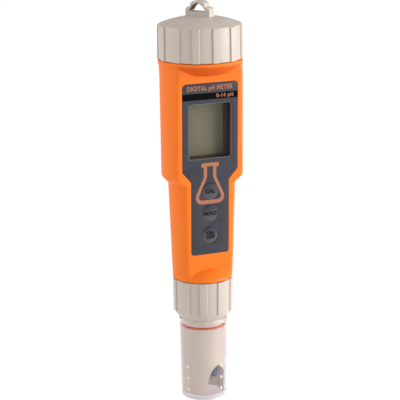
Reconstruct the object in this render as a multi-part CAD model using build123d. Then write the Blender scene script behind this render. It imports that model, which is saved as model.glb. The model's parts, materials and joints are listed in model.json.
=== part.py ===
from build123d import *

import os
from math import cos, radians, sin, sqrt, tan

# Pocket pH meter, millimetres. +Z runs up the barrel to the lanyard loop, the display faces -Y,
# and the origin is the centre of the storage cup's underside, on which the meter stands.

# ---- driving dimensions ----------------------------------------------------------------------
total_height = 188.0
running_gap = 0.05            # radial play between pieces that turn or slide on each other
face_gap = 0.3                # axial play between pieces that stop against each other

# clear storage cup, tapering outwards from its foot to its mouth
cup_height = 39.3
cup_foot_radius = 10.55
cup_mouth_radius = 11.1
cup_wall = 0.8
cup_floor = 1.2
cup_foot_round = 1.1
nub_radius = 1.2
nub_proud = 0.3
nub_levels = (5.2, 10.8, 16.4)
nub_columns = (-64.0, 26.0, 116.0, 206.0)      # degrees from the front, positive towards +X

# electrode: shroud round the glass bulb, flange under the collar, spigot in the barrel
shroud_foot = 2.4
shroud_play = 0.2
shroud_bore = 8.0
notch_turns = (21.5, 201.5)
notch_half_width = 5.75
notch_top = 16.6
notch_spring = 4.0
bulkhead = (16.6, 19.6)
reservoir_radius = 7.6
ring_level = 35.6
ring_section = 1.0
neck_radius = 10.05
flange = (43.9, 46.4)
flange_radius = 11.45
spigot_radius = 9.35
spigot_top = 60.0
seal_level = 53.0
seal_section = 1.4
stem_radius = 3.0
stem_wall = 0.8
stem_top = 52.0
bulb_radius = 3.9
bulb_wall = 0.5
bulb_level = 9.4
junction_turn = 74.0
junction_reach = 6.3          # distance of the junction from the axis
junction_radius = 1.6
junction_span = (12.3, 20.6)
thermistor_turn = 40.0
thermistor_reach = 5.5
thermistor_radius = 1.5
thermistor_span = (9.4, 26.0)
wire_radius = 0.4
pin_radius = 0.45
pin_pitch = 2.54
pin_count = 4
pin_row_y = 1.0
pin_span = (57.5, 65.6)

# collar nut that holds the electrode in the barrel
collar_foot = 39.6
collar_top = 58.5
collar_foot_radius = 11.2
collar_chamfer_top = 43.35
collar_radius = 14.0
collar_top_radius = 14.2
collar_valley = 0.55
collar_ribs = 10
collar_rib_turn = -21.2
collar_rib_width = 3.65
collar_bore = 11.75
collar_hole = neck_radius + 0.15

# orange barrel
barrel_foot = 58.8
barrel_foot_radius = 13.87
grip_bend = (67.0, 14.24)     # level and radius where the grip's taper eases
waist = (104.5, 15.48)        # level and radius where the slim grip ends
shoulder_top = (107.7, 18.75)
head_top = (159.9, 19.0)
head_forward = 0.65           # how far the head's round stands forward of the axis
rim_radius = 19.38
rim_span = (160.2, 161.6)
rim_flare = 5.0               # height over which the head's back runs out to the rim
barrel_wall = 2.1
lower_spigot = (47.0, 11.0)   # level and radius of the threaded tail inside the collar
socket_bore = 9.6
socket_top = 62.0
neck_top = 172.6
barrel_neck_radius = 16.6
barrel_neck_bore = 14.9
ledge = 159.9

# flat front, leaning out slightly towards the top
front_level = 100.0
front_reach = 9.87            # distance of the flat from the axis at front_level
front_lean = 0.0249           # reach gained per millimetre of height
front_wall = 2.2
lower_scoop = (63.7, 10.4)    # level and radius where the lower scoop turns down
lower_scoop_slope = 1.0
upper_scoop = (155.5, 13.4)
upper_scoop_slope = 0.742

# label, window and keys, in the plane of the flat, heights measured along it from front_level
label_pocket = 0.5
label_thickness = 0.4
label_play = 0.05
label_top = 51.98
label_foot = -28.36
label_half = 13.6
label_slim_half = 9.3
label_step = (11.3, 6.5)      # where the side turns in, and where it is slim
window_half_width = 10.45
window_foot = 16.95
window_top = 42.55
window_corner = 1.5
window_thickness = 1.2
key_levels = (1.5, -9.0, -19.3)
key_names = ("key_calibrate", "key_hold", "key_power")
key_radius = 4.15
key_hole = 4.3
key_dome = 0.45
key_flange_radius = 4.9
key_flange = 0.8
key_stem_radius = 1.5
key_travel = 0.5

# display stack and board, upright in the middle of the barrel
board_front = 0.2             # y of the board's front face
board_thickness = 1.6
board_foot = 67.0
board_top = 147.0
board_step = 111.0
board_half = 12.5
board_slim_half = 8.6
lcd_front = -3.4
lcd_thickness = 2.1
lcd_half_width = 10.9
lcd_span = (114.6, 145.0)
lcd_view_half = 9.4
lcd_view_span = (117.2, 143.0)
frame_wall = 0.8
frame_front = -7.7
zebra_depth = 1.8
switch_side = 6.0
switch_height = 3.4
plunger_radius = 1.7
plunger_height = 0.8
plunger_gap = 0.7
pad_thickness = 0.8
screw_radius = 0.8
screw_head = 1.5
chassis_thickness = 1.6

# batteries and their holder
cell_radius = 5.8
cell_height = 5.4
cell_count = 4
stack_foot = 150.2
holder_wall = 1.1
holder_top = 170.4
holder_flange = (160.0, 161.6)
tab_width = 3.0
tab_thickness = 0.3

# battery cap with the lanyard loop
cap_foot = 161.85
cap_radius = 19.6
cap_top_radius = 19.42
cap_edge = 177.15
cap_crown = 181.05
cap_valley = 0.65
cap_ribs = 13
cap_rib_turn = -28.3
cap_rib_width = 3.3
cap_bore = 17.45
cap_seat_radius = 18.0
cap_seat_top = 163.5
cap_roof = 173.6
seal_ring = (17.32, 0.62)     # centre radius and section radius of the seal on the barrel's rim
swivel_radius = 1.2
swivel_foot = 172.9
contact_radius = 8.6
contact_thickness = 0.4
contact_level = 172.15
loop_turn = -54.0
loop_thickness = 4.5
loop_edge = 0.25
loop_half = 6.3
loop_shoulder = 184.95
loop_arch_half = 3.85
loop_spring = 187.0
loop_apex = total_height + 0.36       # corner over the arch's rounded top
hole_half = 4.3
hole_foot = 182.85
hole_spring = (2.75, 185.2)
hole_apex = 187.05


# ---- helpers ---------------------------------------------------------------------------------
def outline(*corners):
    """Closed face through (u, v, radius) corners, its straight runs joined by tangent arcs."""
    points = [Vector(u, v) for u, v, _ in corners]
    edges = []
    previous = None
    first = None
    for i, corner in enumerate(points):
        radius = corners[i][2]
        before = (points[i - 1] - corner).normalized()
        after = (points[(i + 1) % len(points)] - corner).normalized()
        start = end = corner
        if radius:
            half = radians(before.get_angle(after)) / 2
            start = corner + before * (radius / tan(half))
            end = corner + after * (radius / tan(half))
            inward = (before + after).normalized()
            middle = corner + inward * (radius / sin(half) - radius)
            edges.append(ThreePointArc(start, middle, end))
        if previous is not None:
            edges.append(Line(previous, start))
        first = first or start
        previous = end
    edges.append(Line(previous, first))
    return make_face(edges)


def turned(*corners):
    """Solid of revolution about Z from (radius, height, corner radius) corners."""
    return revolve(Plane.XZ * outline(*corners), Axis.Z)


def tube(outer, inner, foot, top):
    """Round tube between two levels."""
    return disc(outer, foot, top) - disc(inner, foot, top)


def disc(radius, foot, top, x=0.0, y=0.0):
    """Upright round bar between two levels."""
    return Pos(x, y, (foot + top) / 2) * Cylinder(radius, top - foot)


def block(x0, x1, y0, y1, z0, z1):
    """Box between two corners."""
    return Pos((x0 + x1) / 2, (y0 + y1) / 2, (z0 + z1) / 2) * Box(x1 - x0, y1 - y0, z1 - z0)


def facing(turn):
    """Unit vector that points outwards at this many degrees from the front."""
    return Vector(sin(radians(turn)), -cos(radians(turn)), 0)


def wall_plane(turn):
    """Upright plane through the axis, its normal facing outwards at this angle, +Y of it up."""
    return Plane(origin=(0, 0, 0), x_dir=facing(turn + 90), z_dir=facing(turn))


def ribs(envelope, count, first_turn, width, inner, outer, foot, top):
    """Wedges of the envelope that stand proud as grip ribs."""
    draft = 0.12
    wedge = outline(
        (-width / 2 - draft, inner, 0), (width / 2 + draft, inner, 0),
        (width / 2 - draft, outer, 0), (-width / 2 + draft, outer, 0),
    )
    bar = Pos(0, 0, foot) * extrude(wedge, top - foot)
    grips = []
    for i in range(count):
        turn = first_turn + i * 360 / count
        grips.append(envelope & (Rot(0, 0, 180 + turn) * bar))
    return grips


def ring(radius, section_radius, level):
    """O-ring."""
    return Pos(0, 0, level) * Torus(radius, section_radius)


front_tilt = Vector(0, -1, -front_lean).normalized()
front = Plane(origin=(0, -front_reach, front_level), x_dir=(1, 0, 0), z_dir=front_tilt)


def on_front(x, up, out=0.0):
    """Location on the flat: across, up along it, and out of it."""
    return front * Pos(x, up, out)


def slab(face, inner, outer):
    """Plate cut from a face drawn on the flat, between two depths measured outwards."""
    return front * (Pos(0, 0, inner) * extrude(face, outer - inner))


def save(node, shape):
    """Writes one sub-part."""
    export_step(shape, f"parts/{node}.step")


# ---- storage cup and electrode ---------------------------------------------------------------
def cup_radius(level):
    """Outer radius of the cup at a level."""
    return cup_foot_radius + (cup_mouth_radius - cup_foot_radius) * level / cup_height


def storage_cup():
    """Clear cup with a rounded foot, a rolled mouth and columns of small grip nubs."""
    lip = 0.1
    inside_foot = cup_radius(cup_floor) - cup_wall
    inside_mouth = cup_mouth_radius - cup_wall
    body = turned(
        (0, 0, 0), (cup_foot_radius, 0, cup_foot_round), (cup_mouth_radius, cup_height - 2.2, 0),
        (cup_mouth_radius + lip, cup_height - 1.9, 0.2), (cup_mouth_radius + lip, cup_height, 0.35),
        (inside_mouth, cup_height, 0.3), (inside_foot, cup_floor, 0.8), (0, cup_floor, 0),
    )
    for level in nub_levels:
        for turn in nub_columns:
            centre = facing(turn) * (cup_radius(level) + nub_proud - nub_radius)
            nub = Pos(centre.X, centre.Y, level) * Sphere(nub_radius)
            body += nub & tube(cup_mouth_radius + 1, cup_radius(level) - cup_wall / 2, 0, cup_height)
    return body


def shroud_radius(level):
    """Outer radius of the shroud, which follows the inside of the cup."""
    return cup_radius(level) - cup_wall - shroud_play


def electrode_body():
    """Moulded body: notched shroud, bulkhead, gel reservoir, flange and plug-in spigot."""
    groove_half = ring_section / 2 + 0.1
    groove_radius = shroud_radius(ring_level) + shroud_play - running_gap - ring_section - 0.02
    groove_foot = ring_level - groove_half
    groove_top = ring_level + groove_half
    seal_half = seal_section / 2 + 0.1
    seal_groove = socket_bore - running_gap - seal_section - 0.02
    body = turned(
        (shroud_bore, shroud_foot, 0.3), (shroud_radius(shroud_foot), shroud_foot, 0.5),
        (shroud_radius(groove_foot), groove_foot, 0.1), (groove_radius, groove_foot, 0),
        (groove_radius, groove_top, 0), (neck_radius, groove_top, 0.1),
        (neck_radius, flange[0], 0), (flange_radius, flange[0], 0.2),
        (flange_radius, flange[1], 0.2), (spigot_radius, flange[1], 0),
        (spigot_radius, seal_level - seal_half, 0), (seal_groove, seal_level - seal_half, 0),
        (seal_groove, seal_level + seal_half, 0), (spigot_radius, seal_level + seal_half, 0),
        (spigot_radius, spigot_top, 0.5), (reservoir_radius, spigot_top, 0),
        (reservoir_radius, bulkhead[1], 0.5), (stem_radius + 0.02, bulkhead[1], 0),
        (stem_radius + 0.02, bulkhead[0], 0), (shroud_bore, bulkhead[0], 1.0),
    )
    arch = Pos(0, notch_spring) * Ellipse(notch_half_width, notch_top - notch_spring)
    arch += Pos(0, notch_spring / 2) * Rectangle(2 * notch_half_width, notch_spring)
    for turn in notch_turns:
        body -= wall_plane(turn) * (Pos(0, 0, shroud_bore / 2) * extrude(arch, shroud_bore))
    for turn, reach, radius in ((junction_turn, junction_reach, junction_radius),
                                (thermistor_turn, thermistor_reach, thermistor_radius)):
        spot = facing(turn) * reach
        body -= disc(radius + 0.02, bulkhead[0] - 1, bulkhead[1] + 1, spot.X, spot.Y)
    return body


def glass_electrode():
    """Thin glass stem with the sensing bulb blown on its end."""
    stem = tube(stem_radius, stem_radius - stem_wall, bulb_level, stem_top)
    bulb = Pos(0, 0, bulb_level) * (Sphere(bulb_radius) - Sphere(bulb_radius - bulb_wall))
    inside = Pos(0, 0, bulb_level) * Sphere(bulb_radius - bulb_wall / 2)
    opening = disc(stem_radius - stem_wall, bulb_level, stem_top)
    return (stem - inside) + (bulb - opening)


def probe_post(turn, reach, radius, span):
    """Small round-ended post beside the stem."""
    spot = facing(turn) * reach
    post = turned(
        (0, span[0], 0), (radius, span[0], radius * 0.6), (radius, span[1], 0), (0, span[1], 0)
    )
    return Pos(spot.X, spot.Y, 0) * post


def pin_places():
    """Positions of the plug's contact pins along X."""
    return [(i - (pin_count - 1) / 2) * pin_pitch for i in range(pin_count)]


def electrode_plug():
    """Disc that closes the reservoir and holds the contact pins."""
    plug = turned(
        (0, 55.0, 0), (reservoir_radius - 0.03, 55.0, 0.3), (reservoir_radius - 0.03, spigot_top, 0.3),
        (0, spigot_top, 0),
    )
    for x in pin_places():
        plug -= disc(pin_radius + 0.01, pin_span[0], spigot_top + 1, x, pin_row_y)
    return plug


def contact_pins():
    """Gold pins that plug into the board's socket."""
    pins = []
    for x in pin_places():
        pin = turned(
            (0, pin_span[0], 0), (pin_radius, pin_span[0], 0), (pin_radius, pin_span[1], 0.3),
            (0, pin_span[1], 0),
        )
        pins.append(Pos(x, pin_row_y, 0) * pin)
    return Compound(children=pins)


def collar_nut():
    """Ribbed retaining nut: a cone below, a threaded bore above."""
    envelope = turned(
        (0, collar_foot, 0), (collar_foot_radius, collar_foot, 0.2),
        (collar_radius, collar_chamfer_top, 0.4), (collar_top_radius, collar_top, 0.3),
        (0, collar_top, 0),
    )
    valley_radius = collar_radius - collar_valley
    slope = (collar_chamfer_top - collar_foot) / (collar_radius - collar_foot_radius)
    valley_foot = collar_chamfer_top - slope * collar_valley
    body = turned(
        (0, collar_foot, 0), (collar_foot_radius, collar_foot, 0.2), (valley_radius, valley_foot, 0.3),
        (collar_top_radius - collar_valley, collar_top, 0.2), (0, collar_top, 0),
    )
    grips = ribs(envelope, collar_ribs, collar_rib_turn, collar_rib_width,
                 valley_radius - 1, collar_top_radius + 1, collar_foot, collar_top + 1)
    body = body + grips
    shelf = flange[0] - face_gap
    body -= disc(collar_hole, collar_foot - 1, shelf + 1)
    return body - disc(collar_bore, shelf, collar_top + 1)


# ---- barrel ----------------------------------------------------------------------------------
def front_region():
    """Space in front of the flat, between the two scoops that end it."""
    far = 30.0
    lower_end = lower_scoop[0] - lower_scoop_slope * (far - lower_scoop[1])
    rim_reach = upper_scoop[1] + (rim_span[0] - 0.2 - upper_scoop[0]) / upper_scoop_slope
    between = turned(
        (0, lower_scoop[0], 0), (lower_scoop[1], lower_scoop[0], 1.2), (far, lower_end, 0),
        (far, rim_span[0] - 0.2, 0), (rim_reach, rim_span[0] - 0.2, 0.5),
        (upper_scoop[1], upper_scoop[0], 2.0), (0, upper_scoop[0], 0),
    )
    ahead = slab(Rectangle(4 * far, 8 * far), 0, 2 * far)
    return ahead & between


def barrel_outside():
    """Threaded tail and slim grip, head with its round forward of the axis, rim and threaded neck."""
    sunk = 3.0
    flare = (shoulder_top[1] - waist[1]) / (shoulder_top[0] - waist[0])
    grip = turned(
        (0, lower_spigot[0], 0), (lower_spigot[1], lower_spigot[0], 0.4), (lower_spigot[1], barrel_foot, 0),
        (barrel_foot_radius, barrel_foot, 0.4), (grip_bend[1], grip_bend[0], 0), (waist[1], waist[0], 0),
        (waist[1], shoulder_top[0], 0), (0, shoulder_top[0], 0),
    )
    head = turned(
        (0, waist[0] - sunk, 0), (waist[1] - flare * sunk, waist[0] - sunk, 0),
        (shoulder_top[1], shoulder_top[0], 2.3), (head_top[1], head_top[0], 0), (0, head_top[0], 0),
    )
    rim = turned(
        (0, head_top[0] - rim_flare, 0), (head_top[1] - head_forward - 0.05, head_top[0] - rim_flare, 0),
        (head_top[1], head_top[0], 0), (rim_radius, rim_span[0], 0.1), (rim_radius, rim_span[1], 0.4),
        (barrel_neck_radius, rim_span[1], 0), (barrel_neck_radius, neck_top, 0.5), (0, neck_top, 0),
    )
    return grip + Pos(0, -head_forward, 0) * head + rim


def barrel_inside():
    """Cavity: follows the outside at the wall thickness and stays behind the flat's wall."""
    head_radius = shoulder_top[1] - barrel_wall
    waist_radius = waist[1] - barrel_wall
    grip = turned(
        (0, socket_top, 0), (barrel_foot_radius - barrel_wall, socket_top, 0.5),
        (waist_radius, waist[0] + 1, 0), (waist_radius, shoulder_top[0], 0), (0, shoulder_top[0], 0),
    )
    head = turned(
        (0, waist[0], 0), (waist_radius - 1, waist[0], 0), (head_radius, shoulder_top[0] + 1, 2.0),
        (head_radius, ledge, 0), (0, ledge, 0),
    )
    behind = slab(Rectangle(80, 400), -60, -front_wall)
    return (grip + Pos(0, -head_forward, 0) * head) & behind


def label_outline(play, corner):
    """Outline of the label, wide beside the window and slim beside the keys."""
    half = label_half + play
    slim = label_slim_half + play
    top = label_top + play
    foot = label_foot - play
    turn_in, slim_at = label_step
    return outline(
        (-half, top, corner), (-half, turn_in, 1.5), (-slim, slim_at, 1.5), (-slim, foot, corner * 0.7),
        (slim, foot, corner * 0.7), (slim, slim_at, 1.5), (half, turn_in, 1.5), (half, top, corner),
    )


def window_outline(play):
    """Rounded rectangle of the display window."""
    middle = (window_foot + window_top) / 2
    height = window_top - window_foot + 2 * play
    width = 2 * (window_half_width + play)
    return Pos(0, middle) * RectangleRounded(width, height, window_corner + play)


def key_outline(radius):
    """Circles at the three keys."""
    circles = [Pos(0, level) * Circle(radius) for level in key_levels]
    return Sketch() + circles


def barrel():
    """One-piece waterproof barrel with its flat front, label pocket, socket and threaded ends."""
    body = barrel_outside() - front_region() - barrel_inside()
    body -= disc(socket_bore, lower_spigot[0] - 1, socket_top + 1)
    body -= disc(barrel_neck_bore, ledge, neck_top + 1)
    body -= slab(label_outline(label_play, 2.0), -label_pocket, 5)
    body -= slab(window_outline(label_play), -front_wall - 1, 1)
    body -= slab(key_outline(key_hole), -front_wall - 1, 1)
    return body


def label_overlay():
    """Printed overlay with its window and key openings."""
    plate = label_outline(0, 2.0) - window_outline(0.1) - key_outline(key_hole)
    return slab(plate, -label_pocket, label_thickness - label_pocket)


def display_window():
    """Clear lens glued into the barrel's window opening, just below the overlay's face."""
    return slab(window_outline(0), -label_pocket - window_thickness, 0.1 - label_pocket)


def key(level):
    """Round key: a slightly domed face, a sealing flange behind the wall and a push stem."""
    face = label_thickness - label_pocket
    plunger_y = board_front - switch_height - plunger_height
    stem_end = plunger_gap - (front_reach + front_lean * level + plunger_y)
    flange_front = -front_wall - 0.03
    body = turned(
        (0, stem_end, 0), (key_stem_radius, stem_end, 0.2), (key_stem_radius, flange_front - key_flange, 0),
        (key_flange_radius, flange_front - key_flange, 0.15), (key_flange_radius, flange_front, 0.15),
        (key_radius, flange_front, 0), (key_radius, face, 0.3), (0, face, 0),
    )
    dome_sphere = (key_radius**2 + key_dome**2) / (2 * key_dome)
    dome = Pos(0, 0, face + key_dome - dome_sphere) * Sphere(dome_sphere)
    cheek = disc(key_radius - 0.3, face - 0.2, face + key_dome + 1)
    return on_front(0, level) * (body + (dome & cheek))


# ---- display, board and chassis --------------------------------------------------------------
def board_outline(foot, top, play):
    """Upright outline shared by the board and the chassis: slim in the grip, wide in the head."""
    half = board_half - play
    slim = board_slim_half - play
    return outline(
        (-slim, foot, 0.8), (slim, foot, 0.8), (slim, board_step - 3, 1), (half, board_step, 1),
        (half, top, 0.8), (-half, top, 0.8), (-half, board_step, 1), (-slim, board_step - 3, 1),
    )


def upright_plate(face, y0, y1):
    """Plate from a face drawn in X and Z, between two values of Y."""
    return Pos(0, y1, 0) * extrude(Plane.XZ * face, y1 - y0)


def screw_places():
    """X and Z of the board's four screws."""
    return [(side * x, z) for x, z in ((6.6, 72.0), (10.2, 111.8)) for side in (-1, 1)]


def main_board():
    """Circuit board with its screw holes."""
    plate = board_outline(board_foot, board_top, 0)
    for x, z in screw_places():
        plate -= Pos(x, z) * Circle(screw_radius + 0.1)
    return upright_plate(plate, board_front, board_front + board_thickness)


def chassis():
    """Moulded frame behind the board, with bosses for the screws and a shelf for the holder."""
    y0 = board_front + board_thickness
    depth = 3.6
    face = board_outline(board_foot + 1.5, board_top, 0.6)
    window = Pos(0, 128) * RectangleRounded(16, 24, 2) + Pos(0, 92) * RectangleRounded(9, 26, 2)
    body = upright_plate(face - window, y0 + depth - chassis_thickness, y0 + depth)
    for x, z in screw_places():
        post = Pos(x, z) * Circle(1.7)
        body += upright_plate(post, y0, y0 + depth)
        body -= upright_plate(Pos(x, z) * Circle(screw_radius + 0.02), y0 - 1, y0 + depth - 0.6)
    body += block(-9, 9, y0 + depth - chassis_thickness, y0 + depth + 3.5, board_top, board_top + 1.2)
    return body + block(-9, 9, y0 + depth - chassis_thickness, y0 + depth, board_top - 2, board_top + 1.2)


def board_screws():
    """Four self-tapping screws that clamp the board to the chassis."""
    depth = 4.2
    screws = []
    for x, z in screw_places():
        screw = turned(
            (0, -depth, 0), (screw_radius, -depth, 0.3), (screw_radius, 0, 0), (screw_head, 0, 0),
            (screw_head, 1.0, 0.3), (0, 1.0, 0),
        )
        screw -= Pos(0, 0, 1.0) * (Box(2.0, 0.4, 0.8) + Box(0.4, 2.0, 0.8))
        screws.append(Pos(x, board_front, z) * (Rot(90, 0, 0) * screw))
    return Compound(children=screws)


def lcd_glass():
    """Two-sheet liquid crystal cell; the back sheet is longer, for its contacts."""
    rear = lcd_front + lcd_thickness
    middle = lcd_front + lcd_thickness / 2
    body = block(-lcd_half_width, lcd_half_width, lcd_front, middle, lcd_span[0] + 2.4, lcd_span[1])
    return body + block(-lcd_half_width, lcd_half_width, middle, rear, *lcd_span)


def lcd_frame():
    """Black frame that shades and holds the display, from the front wall back to the board."""
    half = lcd_half_width + 0.1
    outer = half + frame_wall
    foot = lcd_span[0] - 0.1
    top = lcd_span[1] + 0.1
    body = block(-outer, outer, frame_front, board_front, foot - frame_wall, top + frame_wall)
    body -= block(-half, half, lcd_front - 0.05, board_front + 1, foot, top)
    well = outline(
        (-lcd_view_half, lcd_view_span[0], 0.6), (lcd_view_half, lcd_view_span[0], 0.6),
        (lcd_view_half, lcd_view_span[1], 0.6), (-lcd_view_half, lcd_view_span[1], 0.6),
    )
    body -= upright_plate(well, frame_front - 1, lcd_front)
    mouth = block(-half, half, frame_front - 1, lcd_front - 1.2, window_foot + front_level - 1,
                  window_top + front_level + 1)
    return body - mouth


def zebra_strip():
    """Elastomer connector between the display's contacts and the board."""
    rear = lcd_front + lcd_thickness
    return block(-lcd_half_width, lcd_half_width, rear, board_front, lcd_span[0], lcd_span[0] + zebra_depth)


def tact_switches():
    """Three board switches under the keys."""
    switches = []
    for level in key_levels:
        z = front_level + level
        body = block(-switch_side / 2, switch_side / 2, board_front - switch_height, board_front,
                     z - switch_side / 2, z + switch_side / 2)
        body = chamfer(body.edges().filter_by(Axis.Y), 0.5)
        face = board_front - switch_height
        plunger = upright_plate(Pos(0, z) * Circle(plunger_radius), face - plunger_height, face)
        switches.append(body + plunger)
    return Compound(children=switches)


def key_pad():
    """Soft sealing pad behind the keys: a pierced web inside a rim that meets the wall."""
    foot = key_levels[-1] - 7.0
    top = key_levels[0] + 7.0
    middle = Pos(0, (foot + top) / 2)
    outer = middle * RectangleRounded(14.0, top - foot, 2.5)
    inner = middle * RectangleRounded(11.0, top - foot - 3.0, 1.5)
    web = -front_wall - key_flange - key_travel - 0.25
    plate = slab(outer - key_outline(key_stem_radius + 0.3), web - pad_thickness, web)
    return plate + slab(outer - inner, web - 0.1, -front_wall - 0.02)


def board_chips():
    """Controller, amplifier and crystal on the back of the board."""
    y0 = board_front + board_thickness
    controller = block(-4.5, 4.5, y0, y0 + 1.4, 123.5, 132.5)
    controller = chamfer(controller.faces().sort_by(Axis.Y)[-1].edges(), 0.25)
    amplifier = block(-2.5, 2.5, y0, y0 + 1.3, 92.0, 96.0)
    crystal = upright_plate(Pos(0, 103.0) * SlotOverall(6.5, 3.0), y0, y0 + 1.2)
    return Compound(children=[controller, amplifier, crystal])


def pin_socket():
    """Header that takes the electrode's pins."""
    half = pin_count * pin_pitch / 2 + 0.2
    body = block(-half, half, pin_row_y - 1.3, pin_row_y + 1.3, 61.2, board_foot)
    for x in pin_places():
        body -= disc(pin_radius + running_gap, 60, pin_span[1] + 0.6, x, pin_row_y)
    return body


# ---- batteries -------------------------------------------------------------------------------
def battery_holder():
    """Tube for the cells on a flange that rests on the barrel's ledge."""
    inner = cell_radius + 0.15
    outer = inner + holder_wall
    foot = stack_foot - 1.6
    body = disc(outer, foot, holder_top) - disc(inner, stack_foot - 0.4, holder_top + 1)
    body += tube(barrel_neck_bore - 0.15, outer - 0.2, *holder_flange)
    body -= disc(inner, stack_foot - 0.4, holder_top + 1)
    half_slot = tab_width / 2 + 0.1
    return body - block(-half_slot, half_slot, outer, outer + tab_thickness + 0.1, foot - 1, holder_top + 1)


def cell(index):
    """Button cell: a can with a smaller raised cap at its negative end."""
    foot = stack_foot + index * cell_height
    can_top = foot + cell_height - 0.5
    return turned(
        (0, foot, 0), (cell_radius, foot, 0.3), (cell_radius, can_top, 0.5), (cell_radius - 0.9, can_top, 0),
        (cell_radius - 1.0, foot + cell_height - 0.01, 0.2), (0, foot + cell_height - 0.01, 0),
    )


def lower_contact():
    """Plate under the cells."""
    plate = disc(4.6, stack_foot - 0.38, stack_foot - 0.02)
    return plate - disc(1.0, stack_foot - 1, stack_foot + 1)


def upper_tab():
    """Strip that runs down the holder from the cap's contact to the board."""
    inner = cell_radius + 0.15 + holder_wall + 0.02
    foot = board_top + 1.3
    return block(-tab_width / 2, tab_width / 2, inner, inner + tab_thickness, foot, contact_level - 0.2)


def cap_contact():
    """Dished contact disc that swivels under the cap."""
    top = contact_level + contact_thickness
    return turned(
        (swivel_radius + running_gap, contact_level, 0), (contact_radius, contact_level, 0.1),
        (contact_radius, top, 0.1), (2.7, top, 0), (2.7, top + 1.9, 0.2),
        (swivel_radius + running_gap, top + 1.9, 0),
    )


# ---- battery cap -----------------------------------------------------------------------------
def arched(right, apex):
    """Closed face, even about the middle: corners up its right side, then the corner at its top."""
    left = [(-u, v, radius) for u, v, radius in reversed(right)]
    return outline(*right, apex, *left)


def lanyard_loop():
    """Thick eye with stepped shoulders and an arched hole, standing on the crown."""
    side = [(loop_half, cap_edge, 0), (loop_half, loop_shoulder, 1.6), (loop_arch_half, loop_shoulder, 0.3),
            (loop_arch_half, loop_spring, 1.7)]
    shape = arched(side, (0, loop_apex, 6.0))
    eye = arched([(hole_half, hole_foot, 0.25), (*hole_spring, 2.5)], (0, hole_apex, 2.2))
    plate = Pos(0, 0, -loop_thickness / 2) * extrude(shape - eye, loop_thickness)
    faces = plate.faces().sort_by(Axis.Z)
    plate = chamfer(faces[0].edges() + faces[-1].edges(), loop_edge)
    return wall_plane(loop_turn) * plate


def crown_level(radius):
    """Level of the cap's spherical crown at a radius."""
    drop = cap_crown - cap_edge
    sphere = (cap_top_radius**2 + drop**2) / (2 * drop)
    return cap_crown - sphere + sqrt(sphere**2 - radius**2)


def domed(radius, top_radius, edge_round):
    """Tapered round blank under the crown, its top edge rounded."""
    corner = Vector(top_radius, crown_level(top_radius))
    profile = make_face([
        Line((0, cap_foot), (radius, cap_foot)), Line((radius, cap_foot), corner),
        ThreePointArc(corner, (top_radius / 2, crown_level(top_radius / 2)), (0, cap_crown)),
        Line((0, cap_crown), (0, cap_foot)),
    ])
    profile = fillet(profile.vertices().sort_by_distance(corner)[0], edge_round)
    return revolve(Plane.XZ * profile, Axis.Z)


def battery_cap():
    """Ribbed screw cap with a shallow crown, a swivel post inside and the lanyard loop on top."""
    body = domed(cap_radius - cap_valley, cap_top_radius - cap_valley, 0.5)
    grips = ribs(domed(cap_radius, cap_top_radius, 0.8), cap_ribs, cap_rib_turn, cap_rib_width,
                 cap_radius - cap_valley - 1, cap_radius + 1, cap_foot - 1, cap_crown)
    body = body + grips + lanyard_loop()
    body -= turned(
        (0, cap_foot - 1, 0), (cap_seat_radius, cap_foot - 1, 0), (cap_seat_radius, cap_seat_top, 0),
        (cap_bore, cap_seat_top + 0.3, 0), (cap_bore, cap_roof, 0.5), (9.0, 176.6, 3), (0, 177.4, 0),
    )
    return body + disc(swivel_radius, swivel_foot, cap_crown - 1) + disc(4.0, 175.2, cap_crown - 1)


# ---- write every sub-part --------------------------------------------------------------------
os.makedirs("parts", exist_ok=True)

ring_centre = cup_radius(ring_level) - cup_wall - running_gap - ring_section / 2
seal_centre = socket_bore - running_gap - seal_section / 2

save("storage_cup", storage_cup())
save("cup_ring", ring(ring_centre, ring_section / 2, ring_level))
save("electrode_body", electrode_body())
save("glass_electrode", glass_electrode())
save("reference_junction", probe_post(junction_turn, junction_reach, junction_radius, junction_span))
save("thermistor", probe_post(thermistor_turn, thermistor_reach, thermistor_radius, thermistor_span))
save("silver_wire", disc(wire_radius, bulb_level - 1.5, 54.8))
save("reference_wire", disc(wire_radius, 22.0, 54.8, -4.6, 3.0))
save("electrode_plug", electrode_plug())
save("contact_pins", contact_pins())
save("electrode_seal", ring(seal_centre, seal_section / 2, seal_level))
save("collar_nut", collar_nut())
save("barrel", barrel())
save("label_overlay", label_overlay())
save("display_window", display_window())
for name, level in zip(key_names, key_levels):
    save(name, key(level))
save("key_pad", key_pad())
save("tact_switches", tact_switches())
save("lcd_glass", lcd_glass())
save("lcd_frame", lcd_frame())
save("zebra_strip", zebra_strip())
save("main_board", main_board())
save("board_chips", board_chips())
save("board_screws", board_screws())
save("pin_socket", pin_socket())
save("chassis", chassis())
save("battery_holder", battery_holder())
for index in range(cell_count):
    save(f"button_cell_{index + 1}", cell(index))
save("lower_contact", lower_contact())
save("upper_tab", upper_tab())
save("cap_contact", cap_contact())
save("cap_seal", ring(*seal_ring, rim_span[1] + seal_ring[1] + 0.02))
save("battery_cap", battery_cap())
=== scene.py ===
import json
from math import ceil, cos, pi, radians, sin, sqrt, tan

import bmesh
import bpy
import numpy as np
from mathutils import Matrix, Vector


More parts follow.
